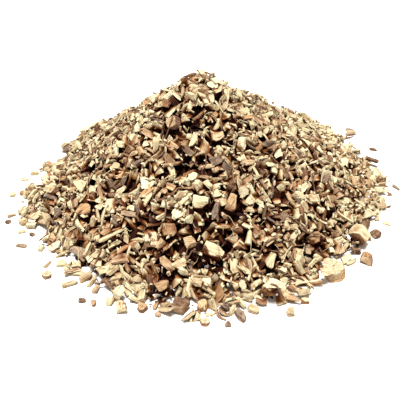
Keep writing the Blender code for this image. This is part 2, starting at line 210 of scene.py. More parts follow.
# A root cut across: pale rays run out from a dark pith to a thin brown rim under the cork.
sliceLook = {
    "rays": 7.5,             # ray bundles in one radian
    "pith": (0.05, 0.15),    # where the pith ends, as a share of the radius
    "rim": (0.80, 0.94),     # where the wood darkens towards the cork
    "rimTint": "#A67B4C",
    "pithTint": "#5E3E25",
    "tints": 0.85,           # how strong both tints are
    "rottedPith": (0.34, 0.56),   # where it ends in a slice whose middle has rotted out
    "poreSpacing": 0.62,
    "bump": 0.8,
    "roughness": 0.82,
    "specular": 0.3,
}


def sliceMaterial(name, kind, pithSpan=sliceLook["pith"]):
    # colour = wood streaked by noise on the unit circle, darker at the pith and the rim, with
    # pores; the sides are cork
    look = sliceLook
    made, tree, read = openMaterial(name, "grain", "reach", "cork")
    grain, reach, cork = read[0].outputs["Vector"], read[1].outputs["Fac"], read[2].outputs["Fac"]
    flat = addNode(tree, "VectorMath", {"operation": "MULTIPLY", 1: (1.0, 1.0, 0.0)}, {0: grain})
    circle = addNode(tree, "VectorMath", {"operation": "NORMALIZE"}, {0: flat.outputs["Vector"]})
    outward = addNode(tree, "CombineXYZ", links={"Z": reach})
    polar = addNode(tree, "VectorMath", {"operation": "ADD"},
                    {0: circle.outputs["Vector"], 1: outward.outputs["Vector"]})
    squeezed = addNode(tree, "Mapping", {"Scale": (1.0, 1.0, 0.22)}, {"Vector": polar.outputs["Vector"]})
    rays = addNode(tree, "TexNoise", {"Scale": look["rays"], "Detail": 4.0, "Roughness": 0.65},
                   {"Vector": squeezed.outputs["Vector"]})
    pores = addNode(tree, "TexVoronoi", {"Scale": 1.0 / look["poreSpacing"]}, {"Vector": grain})
    ridges = addNode(tree, "TexNoise", {"Scale": 1.0 / woodLook["corkRidge"], "Detail": 4.0,
                                        "Roughness": 0.7}, {"Vector": grain})
    wood = addRamp(tree, rays.outputs["Fac"],
                   ((0.36, "#A0845E"), (0.45, kind["face"][0]), (0.58, kind["face"][2])))
    poreMask = addRamp(tree, pores.outputs["Distance"], ((0.14, "#5A3E25"), (0.34, "#FFFFFF")))
    pored = blend(tree, woodLook["pores"], wood, poreMask, "MULTIPLY")
    pith = addNode(tree, "MapRange", {"From Min": pithSpan[0], "From Max": pithSpan[1],
                                      "To Min": look["tints"], "To Max": 0.0}, {"Value": reach})
    darker = blend(tree, pith.outputs["Result"], pored, linear(look["pithTint"]))
    rim = addNode(tree, "MapRange", {"From Min": look["rim"][0], "From Max": look["rim"][1],
                                     "To Min": 0.0, "To Max": look["tints"]}, {"Value": reach})
    rimmed = blend(tree, rim.outputs["Result"], darker, linear(look["rimTint"]))
    corkColour = addRamp(tree, ridges.outputs["Fac"],
                         list(zip(woodLook["corkStops"], kind["cork"])))
    coloured = blend(tree, cork, rimmed, corkColour)
    closeMaterial(tree, coloured, cork, rays.outputs["Fac"], ridges.outputs["Fac"], look)
    return made


rootMaterials = {name: rootMaterial(name, kind) for name, kind in woodKinds.items()}
slotOfKind = {"paleWood": "pale_wood", "tanWood": "tan_wood", "orangeWood": "orange_wood",
              "brownBark": "brown_bark", "greyBark": "grey_bark"}
kindOfSlot = {slot: kind for kind, slot in slotOfKind.items()}
print("materials made:", ", ".join(rootMaterials))


def waves(points, scale, seed, count=40):
    # smooth noise from -1 to 1: the mean of many cosine waves of random direction and phase
    source = np.random.default_rng(seed)
    heading = source.normal(size=(count, 3)) / scale
    phase = source.uniform(0, 2 * np.pi, count)
    return np.cos(points @ heading.T * 2.2 + phase).sum(axis=-1) / np.sqrt(count) * 0.8


def unit(vectors):
    # each vector over its own length
    return vectors / np.maximum(np.linalg.norm(vectors, axis=-1, keepdims=True), 1e-12)


def angleBetween(a, b):
    # how far two bearings lie apart, from 0 to pi
    return np.abs((a - b + np.pi) % (2 * np.pi) - np.pi)


def nodeTriangles(name):
    # a CAD node's points in metres, and the three corners of each of its triangles
    mesh = frame["nodes"][name].data
    mesh.calc_loop_triangles()
    places = np.empty(len(mesh.vertices) * 3, np.float32)
    mesh.vertices.foreach_get("co", places)
    corners = np.empty(len(mesh.loop_triangles) * 3, np.int32)
    mesh.loop_triangles.foreach_get("vertices", corners)
    return places.reshape(-1, 3), corners


def heightsOver(name, step):
    # highest point of a CAD node over each cell of the plan: its triangles are covered with dots
    # about one step apart, and the highest dot in a cell is kept
    places, corners = nodeTriangles(name)
    tri = places[corners].reshape(-1, 3, 3).astype(float) / mm
    longest = np.linalg.norm(tri - np.roll(tri, 1, axis=1), axis=2).max(axis=1)
    found = np.full(planShape, -1.0)
    for size in np.unique(np.ceil(longest / step).astype(int)):
        chosen = tri[np.ceil(longest / step).astype(int) == size]
        a, b = np.meshgrid(np.arange(size + 1) / size, np.arange(size + 1) / size)
        inside = a + b <= 1.0001
        share = np.stack([1 - a[inside] - b[inside], a[inside], b[inside]], axis=1)
        dots = np.einsum("sk,tkc->tsc", share, chosen).reshape(-1, 3)
        column = np.floor((dots[:, 0] - planLow[0]) / cell).astype(int).clip(0, planShape[0] - 1)
        row = np.floor((dots[:, 1] - planLow[1]) / cell).astype(int).clip(0, planShape[1] - 1)
        np.maximum.at(found, (column, row), dots[:, 2])
    return found


def blurred(field, times):
    # each cell becomes the mean of itself and its four neighbours, over and over
    for _ in range(times):
        field = (field + np.roll(field, 1, 0) + np.roll(field, -1, 0)
                 + np.roll(field, 1, 1) + np.roll(field, -1, 1)) / 5
    return field


# The ground plan that the chips are poured on.
plan = {
    "cell": 0.5,
    "low": (-98.0, -92.0),
    "high": (98.0, 92.0),
    "dotSteps": (0.45, 0.3),   # between the dots that sample the heap's solid, and a chip's
    "mask": (6, 0.42),   # passes of smoothing of the heap's outline, and where it then ends
    "blur": 50,          # passes of smoothing, about 5 mm
    "slopeBlur": 160,
    "sink": 0.4,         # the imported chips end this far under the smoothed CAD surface
    "tip": (-8.0, 3.0, 9.0, 1.6),   # place and radius of the tip, and how much fuller it is
    "ceiling": 56.1,     # no packed chip reaches higher
    "foot": 1.8,         # the least height to fill, so that the edge is one chip thick
    "skin": 5.5,         # thickness of the last layers, poured around the bedded chips
    "under": 0.8,        # the inside ends this share of a bedded chip's thickness under its top
    "patch": 4,          # and under so many cells around the middle of a noted chip
    "proud": 3.4,        # the most that a packed chip stands out of the surface
    "pits": 0.030,       # open hollows for each square millimetre
    "pitWidth": 14,      # and their width, as passes of smoothing
    "pitDepth": 3.0,
    "notedPitDepth": 5.0,
    "pitsFrom": 6,       # there are none where the heap is lower
    "pitFloor": 0.4,     # the share of the height that they leave
}
cell = plan["cell"]
planLow = np.array(plan["low"])
planShape = tuple(((np.array(plan["high"]) - planLow) / cell).astype(int))
rawTop = heightsOver("chip_heap", plan["dotSteps"][0])
heapMask = blurred((rawTop > 0.05).astype(float), plan["mask"][0]) > plan["mask"][1]
filled = np.where(rawTop > 0, rawTop, 0.0)
smooth = blurred(filled, plan["blur"])
smooth = 2 * smooth - blurred(smooth, plan["blur"])     # puts back what the smoothing took off
planX = (planLow[0] + (np.arange(planShape[0]) + 0.5) * cell)[:, None]
planY = (planLow[1] + (np.arange(planShape[1]) + 0.5) * cell)[None, :]
tipX, tipY, tipReach, tipRise = plan["tip"]
smooth = smooth + tipRise * np.exp(-((planX - tipX) ** 2 + (planY - tipY) ** 2) / tipReach ** 2)
target = np.where(heapMask, np.maximum(smooth - plan["sink"], plan["foot"]), 0.0)
slopeX, slopeY = np.gradient(blurred(filled, plan["slopeBlur"]), cell)
slopeNormal = unit(np.stack([-slopeX, -slopeY, np.ones(planShape)], axis=-1))
print("heap surface sampled, highest", round(float(target.max()), 1), "mm")

# The kinds of chip in the heap: share of the chips, length along the grain, width, thickness,
# how far it leans out of the slope (radians), rings along it, corners around it.
chipKinds = {
    "chunk": (0.38, (2.6, 6.0), (2.0, 4.4), (1.7, 3.4), 0.80, 4, 7),
    "splinter": (0.25, (3.8, 9.5), (1.1, 2.6), (0.9, 1.9), 0.60, 4, 6),
    "flake": (0.23, (3.2, 7.2), (2.4, 4.8), (0.8, 1.7), 0.85, 4, 7),
    "corkFlake": (0.08, (3.0, 7.0), (2.2, 4.4), (0.7, 1.3), 0.60, 4, 8),
    "rootlet": (0.05, (5.0, 11.0), (0.8, 1.5), (0.8, 1.4), 0.35, 6, 5),
    "slice": (0.03, (1.2, 2.4), (3.2, 5.6), (3.0, 5.2), 0.70, 3, 12),
}
kindNames = list(chipKinds)
# Which finish a chip of a kind gets: pale, tan, orange, brown, grey.
finishNames = list(woodKinds)
finishShares = {
    "chunk": (0.67, 0.19, 0.04, 0.06, 0.04),
    "splinter": (0.65, 0.19, 0.04, 0.08, 0.04),
    "flake": (0.67, 0.19, 0.05, 0.06, 0.03),
    "corkFlake": (0.06, 0.24, 0.14, 0.34, 0.22),
    "rootlet": (0.10, 0.24, 0.10, 0.38, 0.18),
    "slice": (0.62, 0.28, 0.04, 0.04, 0.02),
}

# Packed chips that the eye picks out in the heap: kind, finish, x, y, length, width,
# thickness, turn of the length from +X, rise of the length out of the slope (degrees).
notedChips = (
    ("splinter", "paleWood", -46, -39, 6.9, 2.0, 1.8, 88, 8),
    ("splinter", "paleWood", -33, -51, 5.9, 2.3, 2.0, 84, 4),
    ("chunk", "greyBark", 2, -47, 7.7, 3.5, 3.0, 86, 6),
    ("splinter", "paleWood", 50, -30, 5.1, 2.1, 1.8, 2, 0),
    ("chunk", "paleWood", 43, -29, 5.9, 5.4, 3.4, 20, 4),
    ("slice", "brownBark", 39, -50, 1.8, 4.4, 3.4, 90, 10),
    ("chunk", "paleWood", 35, -51, 4.7, 3.1, 2.6, 10, 8),
    ("chunk", "paleWood", 37, 6, 8.2, 3.7, 2.8, 82, 10),
    ("chunk", "paleWood", 12, -20, 5.7, 3.7, 2.6, 84, 6),
    ("chunk", "paleWood", -3, -26, 6.4, 4.8, 3.2, 80, 4),
    ("chunk", "tanWood", 2, -21, 5.2, 5.2, 3.0, 10, 6),
    ("flake", "paleWood", 27.6, -71.5, 5.5, 4.0, 1.6, 20, 0),
    ("chunk", "paleWood", 25, -70, 4.4, 3.6, 2.4, 70, 0),
    ("flake", "tanWood", 30.5, -69.6, 5.0, 3.6, 1.8, -30, 0),
    ("chunk", "paleWood", -48.3, -62, 5.4, 4.0, 2.6, 30, 0),
    ("splinter", "tanWood", -45.5, -64, 6.2, 2.2, 1.8, 60, 0),
    ("flake", "paleWood", -51, -60, 4.6, 3.6, 1.6, -10, 0),
    ("chunk", "paleWood", -35, -69, 4.4, 3.6, 2.4, 10, 0),
    ("splinter", "brownBark", -38, -67.6, 6.0, 2.2, 1.8, -40, 0),
    ("chunk", "paleWood", -77.5, -33, 5.0, 3.6, 2.4, 0, 0),
    ("flake", "tanWood", -75.5, -30.2, 5.0, 3.6, 1.6, 40, 0),
    ("chunk", "paleWood", 77.5, 19, 5.0, 4.0, 3.0, 30, 0),
    ("splinter", "brownBark", 79.6, 16.5, 7.0, 2.4, 2.0, -30, 0),
    ("flake", "paleWood", 79.5, 6, 5.6, 4.2, 1.8, 10, 0),
    ("chunk", "tanWood", 74.5, 44.5, 5.4, 4.2, 3.4, 10, 0),
    ("chunk", "brownBark", 66.5, -30, 5.6, 4.0, 3.0, 60, 0),
    ("flake", "tanWood", 63.5, -33.5, 5.6, 4.2, 1.8, -20, 0),
    ("flake", "paleWood", 69.5, -24, 5.0, 4.0, 2.2, 30, 0),
    ("flake", "paleWood", 23, -70.8, 5.2, 4.0, 1.6, 40, 0),
    ("chunk", "paleWood", 19.5, -72.4, 4.2, 3.4, 2.2, -10, 0),
    ("flake", "tanWood", 45, -60.5, 5.2, 4.0, 1.8, 15, 0),
    ("flake", "paleWood", 55.5, -48.8, 5.6, 3.8, 1.8, 40, 0),
    ("splinter", "paleWood", 57.4, -50.8, 6.0, 2.2, 1.8, 35, 0),
    ("flake", "tanWood", 52.6, -46.4, 5.4, 4.0, 2.2, 80, 0),
    ("chunk", "brownBark", 59.6, -45.2, 4.6, 2.4, 2.0, 0, 0),
    ("chunk", "paleWood", -33.8, -71.6, 4.2, 3.8, 2.4, 60, 0),
    ("flake", "paleWood", 24.0, -71.6, 5.6, 4.2, 1.6, 0, 0),
    ("chunk", "paleWood", 35.4, -69.4, 5.0, 3.2, 2.2, 10, 0),
    ("splinter", "tanWood", 31.5, -72.0, 5.6, 2.2, 1.8, -15, 0),
    ("flake", "paleWood", -64.4, -46.0, 5.0, 3.8, 1.8, 20, 0),
    ("chunk", "tanWood", -17.4, -71.4, 4.2, 3.6, 2.2, 20, 0),
    ("flake", "paleWood", -46.5, -55.0, 5.6, 4.2, 1.8, 20, 0),
    ("chunk", "tanWood", -44.0, -58.5, 5.0, 3.8, 2.6, -30, 0),
    ("splinter", "paleWood", -48.8, -52.5, 6.0, 2.4, 2.0, 60, 0),
    ("flake", "paleWood", -41.2, -61.5, 5.2, 4.0, 1.8, 10, 0),
    ("chunk", "paleWood", -42.8, -55.6, 4.6, 3.6, 2.6, 45, 0),
)

# Dark hollows between the chips: x, y and radius.
notedPits = (
    (-8, -17, 3.0), (-12, -31, 3.4), (-24, -46, 3.4), (-29, -48, 2.8), (41, -12, 3.0), (6, -56, 2.6),
    (19, -45, 2.8), (-19, -17, 3.0), (26, -28, 3.0), (-50, -22, 2.8), (-36, -14, 2.6), (-34, -32, 2.6),
)


# How the chips settle, each block of packing times its chip's size.
settleLook = {
    "sunk": 0.78,            # a fifth of a chip may sink between the chips below
    "bedded": 0.15,          # and it is pressed in this far
    "overlap": 0.28,         # the share of it that may cover a bedded chip
    "places": 40,            # places looked at for each chip, of which the lowest is taken
    "innerPacking": 0.46,
    "outerPacking": 0.40,
    "innerStop": 0.8,        # the pour ends where the heap lacks less than this
    "outerStop": 0.7,
    "misses": 60,            # after so many chips that find no room
    "most": 30000,
    "smallerFirst": 1.3,     # power that makes small chips commoner than large ones
    "leastGoal": 0.6,        # nothing is poured where the goal is lower
    "leastCells": 4,         # a chip covers at least so many cells
    "overGoal": 0.2,         # and its middle ends no higher over the goal
    "openGap": 0.5,          # height left open where no try fits
}


def cellsAt(places):
    # column and row of the plan for each place
    return ((places - planLow) / cell).astype(int).clip(0, np.array(planShape) - 1)


def chipAxes(normal, turn, lean, roll):
    # length, width and thickness directions of a chip that lies on the slope, turned about
    # the slope's normal, then leaned and rolled
    ahead = np.array([np.cos(turn), np.sin(turn), 0.0])
    side = np.cross(normal, ahead)
    side = side / np.linalg.norm(side)
    ahead = np.cross(side, normal)
    ahead, up = (ahead * np.cos(lean) + normal * np.sin(lean),
                 normal * np.cos(lean) - ahead * np.sin(lean))
    side, up = side * np.cos(roll) + up * np.sin(roll), up * np.cos(roll) - side * np.sin(roll)
    return np.array([ahead, side, up])


def chipShadow(axes, half, x, y):
    # the cells under a block and its lowest and highest point over each, from the three pairs
    # of planes that bound it
    reach = np.abs(axes[:, :2]).T @ half
    low = np.floor((np.array([x, y]) - reach - planLow) / cell).astype(int).clip(0, None)
    high = np.ceil((np.array([x, y]) + reach - planLow) / cell).astype(int) + 1
    window = (slice(low[0], high[0]), slice(low[1], high[1]))
    dx = (planLow[0] + (np.arange(low[0], min(high[0], planShape[0])) + 0.5) * cell - x)[:, None]
    dy = (planLow[1] + (np.arange(low[1], min(high[1], planShape[1])) + 0.5) * cell - y)[None, :]
    under, over = -1e9, 1e9
    for axis, reachHere in zip(axes, half):
        steep = axis[2] if abs(axis[2]) > 0.02 else 0.02
        middle = -(dx * axis[0] + dy * axis[1]) / steep
        under = np.maximum(under, middle - reachHere / abs(steep))
        over = np.minimum(over, middle + reachHere / abs(steep))
    return window, under, over


def restingHeight(here, under, inside):
    # height at which a chip comes to rest: where the share of it that may sink has sunk
    gaps = np.sort((here - under)[inside])
    return gaps[int(settleLook["sunk"] * (len(gaps) - 1))] - settleLook["bedded"]


def coverWith(top, window, inside, over):
    # the upper side of a chip becomes the surface of the heap where it is higher
    top[window] = np.where(inside, np.maximum(top[window], over), top[window])


def pourChips(state, goal, kindShares, stop, packing, source):
    # Drops chips one after another where the heap is lowest under its goal. Each lies as low as
    # the better of two tries. Where neither fits under the goal, a small gap stays open.
    # packing is the share of its size that a chip keeps clear for itself, to each side.
    look = settleLook
    top, guard, most = state["top"], state["guard"], look["most"]
    spots = np.argwhere(goal > look["leastGoal"])
    picks = spots[source.integers(0, len(spots), size=(most, look["places"]))]
    kindDraw = source.choice(len(kindNames), size=most, p=kindShares)
    tries = source.uniform(-1, 1, size=(most, 2, 3))
    sizes = source.uniform(0, 1, size=(most, 3))
    offsets = source.uniform(0, 1, size=(most, 2))
    made, misses = [], 0
    for k in range(most):
        lack = goal[picks[k, :, 0], picks[k, :, 1]] - top[picks[k, :, 0], picks[k, :, 1]]
        best = int(np.argmax(lack))
        if lack[best] < stop:
            misses += 1
            if misses > look["misses"]:
                break
            continue
        column, row = picks[k, best]
        x, y = planLow + (np.array([column, row]) + offsets[k]) * cell
        name = kindNames[kindDraw[k]]
        _, lengths, widths, thicknesses, lean, _, _ = chipKinds[name]
        low, high = np.array([lengths, widths, thicknesses]).T
        size = low + (high - low) * sizes[k] ** look["smallerFirst"]
        half = packing * (size if name != "slice" else size[[1, 2, 0]])
        rest = None
        for turnDraw, leanDraw, rollDraw in tries[k]:
            axes = chipAxes(slopeNormal[column, row], turnDraw * np.pi, leanDraw * lean, rollDraw * lean)
            window, under, over = chipShadow(axes, half, x, y)
            inside = under < over
            covered = inside.sum()
            if covered < look["leastCells"]:
                continue
            if (guard[window] & inside).sum() > look["overlap"] * covered:
                continue
            drop = restingHeight(top[window], under, inside)
            peak = drop + np.abs(axes[:, 2]) @ half
            tallest = min(goal[column, row] + plan["proud"], plan["ceiling"])
            if drop > goal[column, row] + look["overGoal"] or peak > tallest:
                continue
            if rest is None or drop < rest[0]:
                rest = (drop, axes, window, over, inside)
        if rest is None:
            top[column - 1:column + 2, row - 1:row + 2] += look["openGap"]
            continue
        drop, axes, window, over, inside = rest
        coverWith(top, window, inside, drop + over)
        made.append((name, x, y, drop, axes, size, goal[column, row]))
    return made


def layChip(state, row):
    # one of the noted chips: laid where its row says, then kept clear
    name, finish, x, y, length, width, thickness, turn, rise = row
    column, line = cellsAt(np.array([x, y]))
    size = np.array([length, width, thickness])
    half = settleLook["innerPacking"] * (size if name != "slice" else size[[1, 2, 0]])
    axes = chipAxes(slopeNormal[column, line], np.radians(turn), np.radians(rise), 0.0)
    window, under, over = chipShadow(axes, half, x, y)
    inside = under < over
    drop = max(restingHeight(state["top"][window], under, inside), target[column, line])
    coverWith(state["top"], window, inside, drop + over)
    state["guard"][window] |= inside
    return (name, x, y, drop, axes, size, target[column, line]), finish


nodeNames = [name for name in frame["nodes"] if name != "chip_heap"]
nodeTops = {name: heightsOver(name, plan["dotSteps"][1]) for name in nodeNames}
beddedNames = [name for name in nodeNames if not name.startswith(("loose_", "large_"))]
state = {"top": np.zeros(planShape), "guard": np.zeros(planShape, bool)}
pourSource = np.random.default_rng(seeds["pour"])
shares = np.array([chipKinds[name][0] for name in kindNames])
shares = shares / shares.sum()

# first the inside of the heap, up to the last layers, and a little higher under bedded chips
inner = (target - plan["skin"]).clip(0, None)
for name in beddedNames:
    thick = np.ptp(np.array(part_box(name))[:, 2]) / mm
    inner = np.maximum(inner, nodeTops[name] - plan["under"] * thick)
for row in notedChips:
    first, after = cellsAt(np.array(row[2:4])) - plan["patch"], plan["patch"] * 2 + 1
    patch = (slice(first[0], first[0] + after), slice(first[1], first[1] + after))
    inner[patch] = np.maximum(inner[patch], target[patch] - plan["under"] * row[6])
poured = pourChips(state, inner, shares, settleLook["innerStop"], settleLook["innerPacking"],
                   pourSource)
innerCount = len(poured)
print("inside poured:", innerCount, "chips")

# then the bedded chips are set, and the last layers are poured around them
for name in nodeNames:
    state["top"] = np.maximum(state["top"], nodeTops[name])
    state["guard"] |= nodeTops[name] > 0
noted = [layChip(state, row) for row in notedChips]
pits = pourSource.uniform(0, 1, planShape) < plan["pits"] * cell ** 2
pitDepth = blurred(pits.astype(float), plan["pitWidth"]) * plan["pitWidth"] * plan["pitDepth"]
pitDepth = pitDepth.clip(0, plan["pitDepth"])
for x, y, wide in notedPits:
    dip = np.exp(-((planX - x) ** 2 + (planY - y) ** 2) / wide ** 2)
    pitDepth = np.maximum(pitDepth, plan["notedPitDepth"] * dip)
noPits = state["guard"] | (target < plan["pitsFrom"])
goal = np.where(noPits, target, (target - pitDepth).clip(plan["pitFloor"] * target, None))
poured += pourChips(state, goal, shares, settleLook["outerStop"], settleLook["outerPacking"],
                    pourSource)
print("last layers poured:", len(poured) - innerCount, "chips, highest",
      round(float(state["top"].max()), 1), "mm")


def mapCells(chipMap, first, number, total):
    # a chip's bake map, moved for each chip to its own cell of a square of cells
    across = int(np.ceil(np.sqrt(total)))
    index = first + np.arange(number)
    corner = np.stack([index % across, index // across], axis=1)[:, None]
    return (chipMap[None] + corner) / across


# How each kind of chip breaks: squareness of its section, uneven corners, knobbliness along
# it, wedge across it, taper, pinched ends, curl across, ends cut askew, ragged ends, bend,
# dip in the ends, and if the section is turned at random.
chipShapes = {
    "chunk": {"square": 4.6, "rough": 0.38, "knobbly": 0.13, "wedge": 0.55, "taper": 0.55,
              "pinch": 0.06, "curl": 0.0, "askew": 0.65, "ragged": 0.34, "bend": 0.06,
              "dip": 0.0, "turned": 1},
    "splinter": {"square": 3.0, "rough": 0.26, "knobbly": 0.12, "wedge": 0.3, "taper": 0.70,
                 "pinch": 0.20, "curl": 0.0, "askew": 0.60, "ragged": 0.24, "bend": 0.08,
                 "dip": -0.02, "turned": 1},
    "flake": {"square": 4.6, "rough": 0.36, "knobbly": 0.12, "wedge": 0.6, "taper": 0.60,
              "pinch": 0.06, "curl": 0.40, "askew": 0.55, "ragged": 0.32, "bend": 0.07,
              "dip": 0.0, "turned": 1},
    "corkFlake": {"square": 3.6, "rough": 0.18, "knobbly": 0.08, "wedge": 0.2, "taper": 0.40,
                  "pinch": 0.10, "curl": 1.1, "askew": 0.35, "ragged": 0.20, "bend": 0.06,
                  "dip": 0.0, "turned": 0},
    "rootlet": {"square": 2.2, "rough": 0.12, "knobbly": 0.08, "wedge": 0.0, "taper": 0.45,
                "pinch": 0.10, "curl": 0.0, "askew": 0.30, "ragged": 0.02, "bend": 0.16,
                "dip": 0.0, "turned": 1},
    "slice": {"square": 2.1, "rough": 0.12, "knobbly": 0.04, "wedge": 0.1, "taper": 0.12,
              "pinch": 0.05, "curl": 0.0, "askew": 0.08, "ragged": 0.12, "bend": 0.0,
              "dip": 0.06, "turned": 1},
}


def loftChips(kind, sizes, source, rings, around):
    # Chips as prisms along their grain (z): each ring is a rounded polygon whose corners keep
    # their bearing along the chip, because root splits along its fibres. The ends are cut
    # askew, rings shrink by the taper, and the whole bends by bend * z squared.
    look = chipShapes[kind]
    n = len(sizes)
    length, width, thick = (sizes[:, i, None, None] for i in range(3))
    bearing = (np.arange(around) + source.uniform(-0.36, 0.36, (n, around))) * 2 * np.pi / around
    bearing = bearing[:, None, :] + source.uniform(0, 2 * np.pi, (n, 1, 1)) * look["turned"]
    power = look["square"]
    round_ = (np.abs(np.cos(bearing)) ** power + np.abs(np.sin(bearing)) ** power) ** (-1 / power)
    corner = round_ * (1 + look["rough"] * source.uniform(-1, 0.6, (n, 1, around)))
    corner = corner * (1 + look["knobbly"] * source.uniform(-1, 1, (n, rings, around)))
    along = np.linspace(-1, 1, rings)[None, :, None] * np.ones((n, 1, 1))
    along[:, 1:-1] += source.uniform(-0.25, 0.25, (n, rings - 2, 1)) / rings
    girth = 1 - source.uniform(0, look["taper"], (n, 1, 1)) * (0.5 + 0.5 * along) ** 1.4
    girth = girth * (1 - look["pinch"] * np.abs(along) ** 6)
    x = corner * np.cos(bearing) * girth * width / 2
    y = corner * np.sin(bearing) * girth * thick / 2
    y = y * (1 + look["wedge"] * source.uniform(-1, 1, (n, 1, 1)) * 2 * x / width)
    x = x + look["knobbly"] * 0.5 * width * source.uniform(-1, 1, (n, rings, 1))
    y = y + look["curl"] * source.uniform(0.4, 1, (n, 1, 1)) * thick * ((2 * x / width) ** 2 - 0.4)
    askew = source.uniform(-1, 1, (n, 2, 1, 1)) * look["askew"]
    ragged = look["ragged"] * source.uniform(-1, 0.3, (n, rings, around))
    nearEnd = np.abs(along) ** 3
    z = along * length / 2 + nearEnd * (askew[:, 0] * x * np.sign(along) + askew[:, 1] * y
                                        + ragged * length * 0.5 * np.sign(along))
    bend = source.uniform(-1, 1, (n, 2, 1, 1)) * look["bend"]
    x = x + bend[:, 0] * length * (along ** 2 - 0.4)
    y = y + bend[:, 1] * length * (along ** 2 - 0.4)
    grid = np.stack([x, y, z], axis=-1).reshape(n, rings * around, 3)
    caps = grid.reshape(n, rings, around, 3)[:, [0, -1]].mean(axis=2)
    caps[:, :, 2] += look["dip"] * sizes[:, 0, None] * np.array([1, -1])
    return np.concatenate([grid, caps], axis=1), bearing[:, 0]


def loftFaces(rings, around):
    # faces of one lofted chip: four-cornered sides, then fans that close both ends, outwards
    ring, step = np.meshgrid(np.arange(rings - 1), np.arange(around), indexing="ij")
    ring, step = ring.ravel(), step.ravel()
    after = (step + 1) % around
    sides = np.stack([ring * around + step, ring * around + after,
                      (ring + 1) * around + after, (ring + 1) * around + step], axis=1)
    step = np.arange(around)
    after = (step + 1) % around
    last = (rings - 1) * around
    first = np.stack([np.full(around, rings * around), after, step], axis=1)
    end = np.stack([np.full(around, rings * around + 1), last + step, last + after], axis=1)
    return sides, np.concatenate([first, end])


def loftMap(rings, around):
    # bake map of one chip in a unit cell: the sides as a strip, the two ends as round fans
    ring, step = np.meshgrid(np.arange(rings - 1), np.arange(around), indexing="ij")
    ring, step = ring.ravel(), step.ravel()
    u = np.stack([step, step + 1, step + 1, step], axis=1) / around * 0.94 + 0.03
    v = np.stack([ring, ring, ring + 1, ring + 1], axis=1) / (rings - 1) * 0.54 + 0.03
    turn = np.arange(around + 1) * 2 * np.pi / around
    rim = np.stack([np.cos(turn), np.sin(turn)], axis=1) * 0.17
    fans = []
    for middle, flip in (((0.26, 0.80), True), ((0.74, 0.80), False)):
        a, b = (rim[1:], rim[:-1]) if flip else (rim[:-1], rim[1:])
        fans.append(np.stack([np.zeros_like(a), a, b], axis=1) + np.array(middle))
    sides = np.stack([u, v], axis=2).reshape(-1, 2)
    return np.concatenate([sides, np.concatenate(fans).reshape(-1, 2)])


# Painted shade: where a chip lies between others, its colour is darkened by its depth under the heap's
# own surface, for the shadow there.
paintedShadeLook = {
    "start": 0.3,            # depth where the painted shade begins
    "range": 1.7,            # and over which it grows
    "footHeight": 8.0,       # it is weaker below this, where the pale board sends light back
    "footShare": 0.45,
    "blur": (8, 40),         # passes of smoothing of the surface, fine and wide
    "above": 1.2,            # the surface is no higher over the wide one than this
    "under": 0.5,            # nor this far under the poured goal
}
fineTop, wideTop = (blurred(state["top"], times) for times in paintedShadeLook["blur"])
surfaceTop = np.maximum(fineTop, np.minimum(target, wideTop + paintedShadeLook["above"]) - paintedShadeLook["under"])


def paintedShadeAt(points):
    # how much painted shade a point gets: 0 on the heap's surface, rising to 1 where a point lies deep
    # between the chips
    spot = cellsAt(points[..., :2])
    depth = surfaceTop[spot[..., 0], spot[..., 1]] - points[..., 2]
    share = ((depth - paintedShadeLook["start"]) / paintedShadeLook["range"]).clip(0, 1)
    upward = (points[..., 2] / paintedShadeLook["footHeight"]).clip(0, 1)
    return share * (paintedShadeLook["footShare"] + (1 - paintedShadeLook["footShare"]) * upward)


def meshFrom(name, points, quads, triangles, uv, onPoints, onFaces):
    # one mesh from whole arrays: points in millimetres, faces of four and of three corners,
    # the bake map of every corner, and the attributes of points and of faces; only the grain
    # is a vector
    mesh = bpy.data.meshes.new(name)
    mesh.vertices.add(len(points))
    mesh.vertices.foreach_set("co", (points * mm).astype(np.float32).ravel())
    corners = np.concatenate([quads.ravel(), triangles.ravel()]).astype(np.int32)
    counts = np.concatenate([np.full(len(quads), 4), np.full(len(triangles), 3)])
    mesh.loops.add(len(corners))
    mesh.loops.foreach_set("vertex_index", corners)
    mesh.polygons.add(len(counts))
    starts = np.concatenate([[0], np.cumsum(counts)[:-1]]).astype(np.int32)
    mesh.polygons.foreach_set("loop_start", starts)
    mesh.update(calc_edges=True)
    layer = mesh.uv_layers.new(name="OFBake")
    layer.data.foreach_set("uv", uv.astype(np.float32).ravel())
    for domain, labels in (("POINT", onPoints), ("FACE", onFaces)):
        for label, values in labels.items():
            kind, field = ("FLOAT_VECTOR", "vector") if label == "grain" else ("FLOAT", "value")
            made = mesh.attributes.new(label, kind, domain)
            made.data.foreach_set(field, np.asarray(values, np.float32).ravel())
    return mesh


def addPiece(name, mesh, material, replaced):
    # an object that rides on the heap and stands for the CAD nodes named
    piece = bpy.data.objects.new(name, mesh)
    bpy.context.scene.collection.objects.link(piece)
    mesh.materials.append(material)
    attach(piece, "root")
    if replaced:
        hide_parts(*replaced)
    return piece


# Half the angle round a chip that still has its cork on, in radians.
corkLook = {
    "round": 4.0,            # slices and rootlets have it all round
    "bark": (1.5, 3.4),
    "flake": (1.2, 2.0),
    "wood": (0.4, 1.1),
    "woodShare": {"paleWood": 0.38, "tanWood": 0.5, "orangeWood": 0.5},   # how many have any
}


def corkSpan(finish, kind, n, source):
    # that angle for n chips of one kind and finish
    if kind in ("slice", "rootlet"):
        return np.full(n, corkLook["round"])
    if finish in ("brownBark", "greyBark"):
        return source.uniform(*corkLook["bark"], n)
    if kind == "corkFlake":
        return source.uniform(*corkLook["flake"], n)
    corked = source.uniform(0, 1, n) < corkLook["woodShare"][finish]
    return np.where(corked, source.uniform(*corkLook["wood"], n), 0.0)


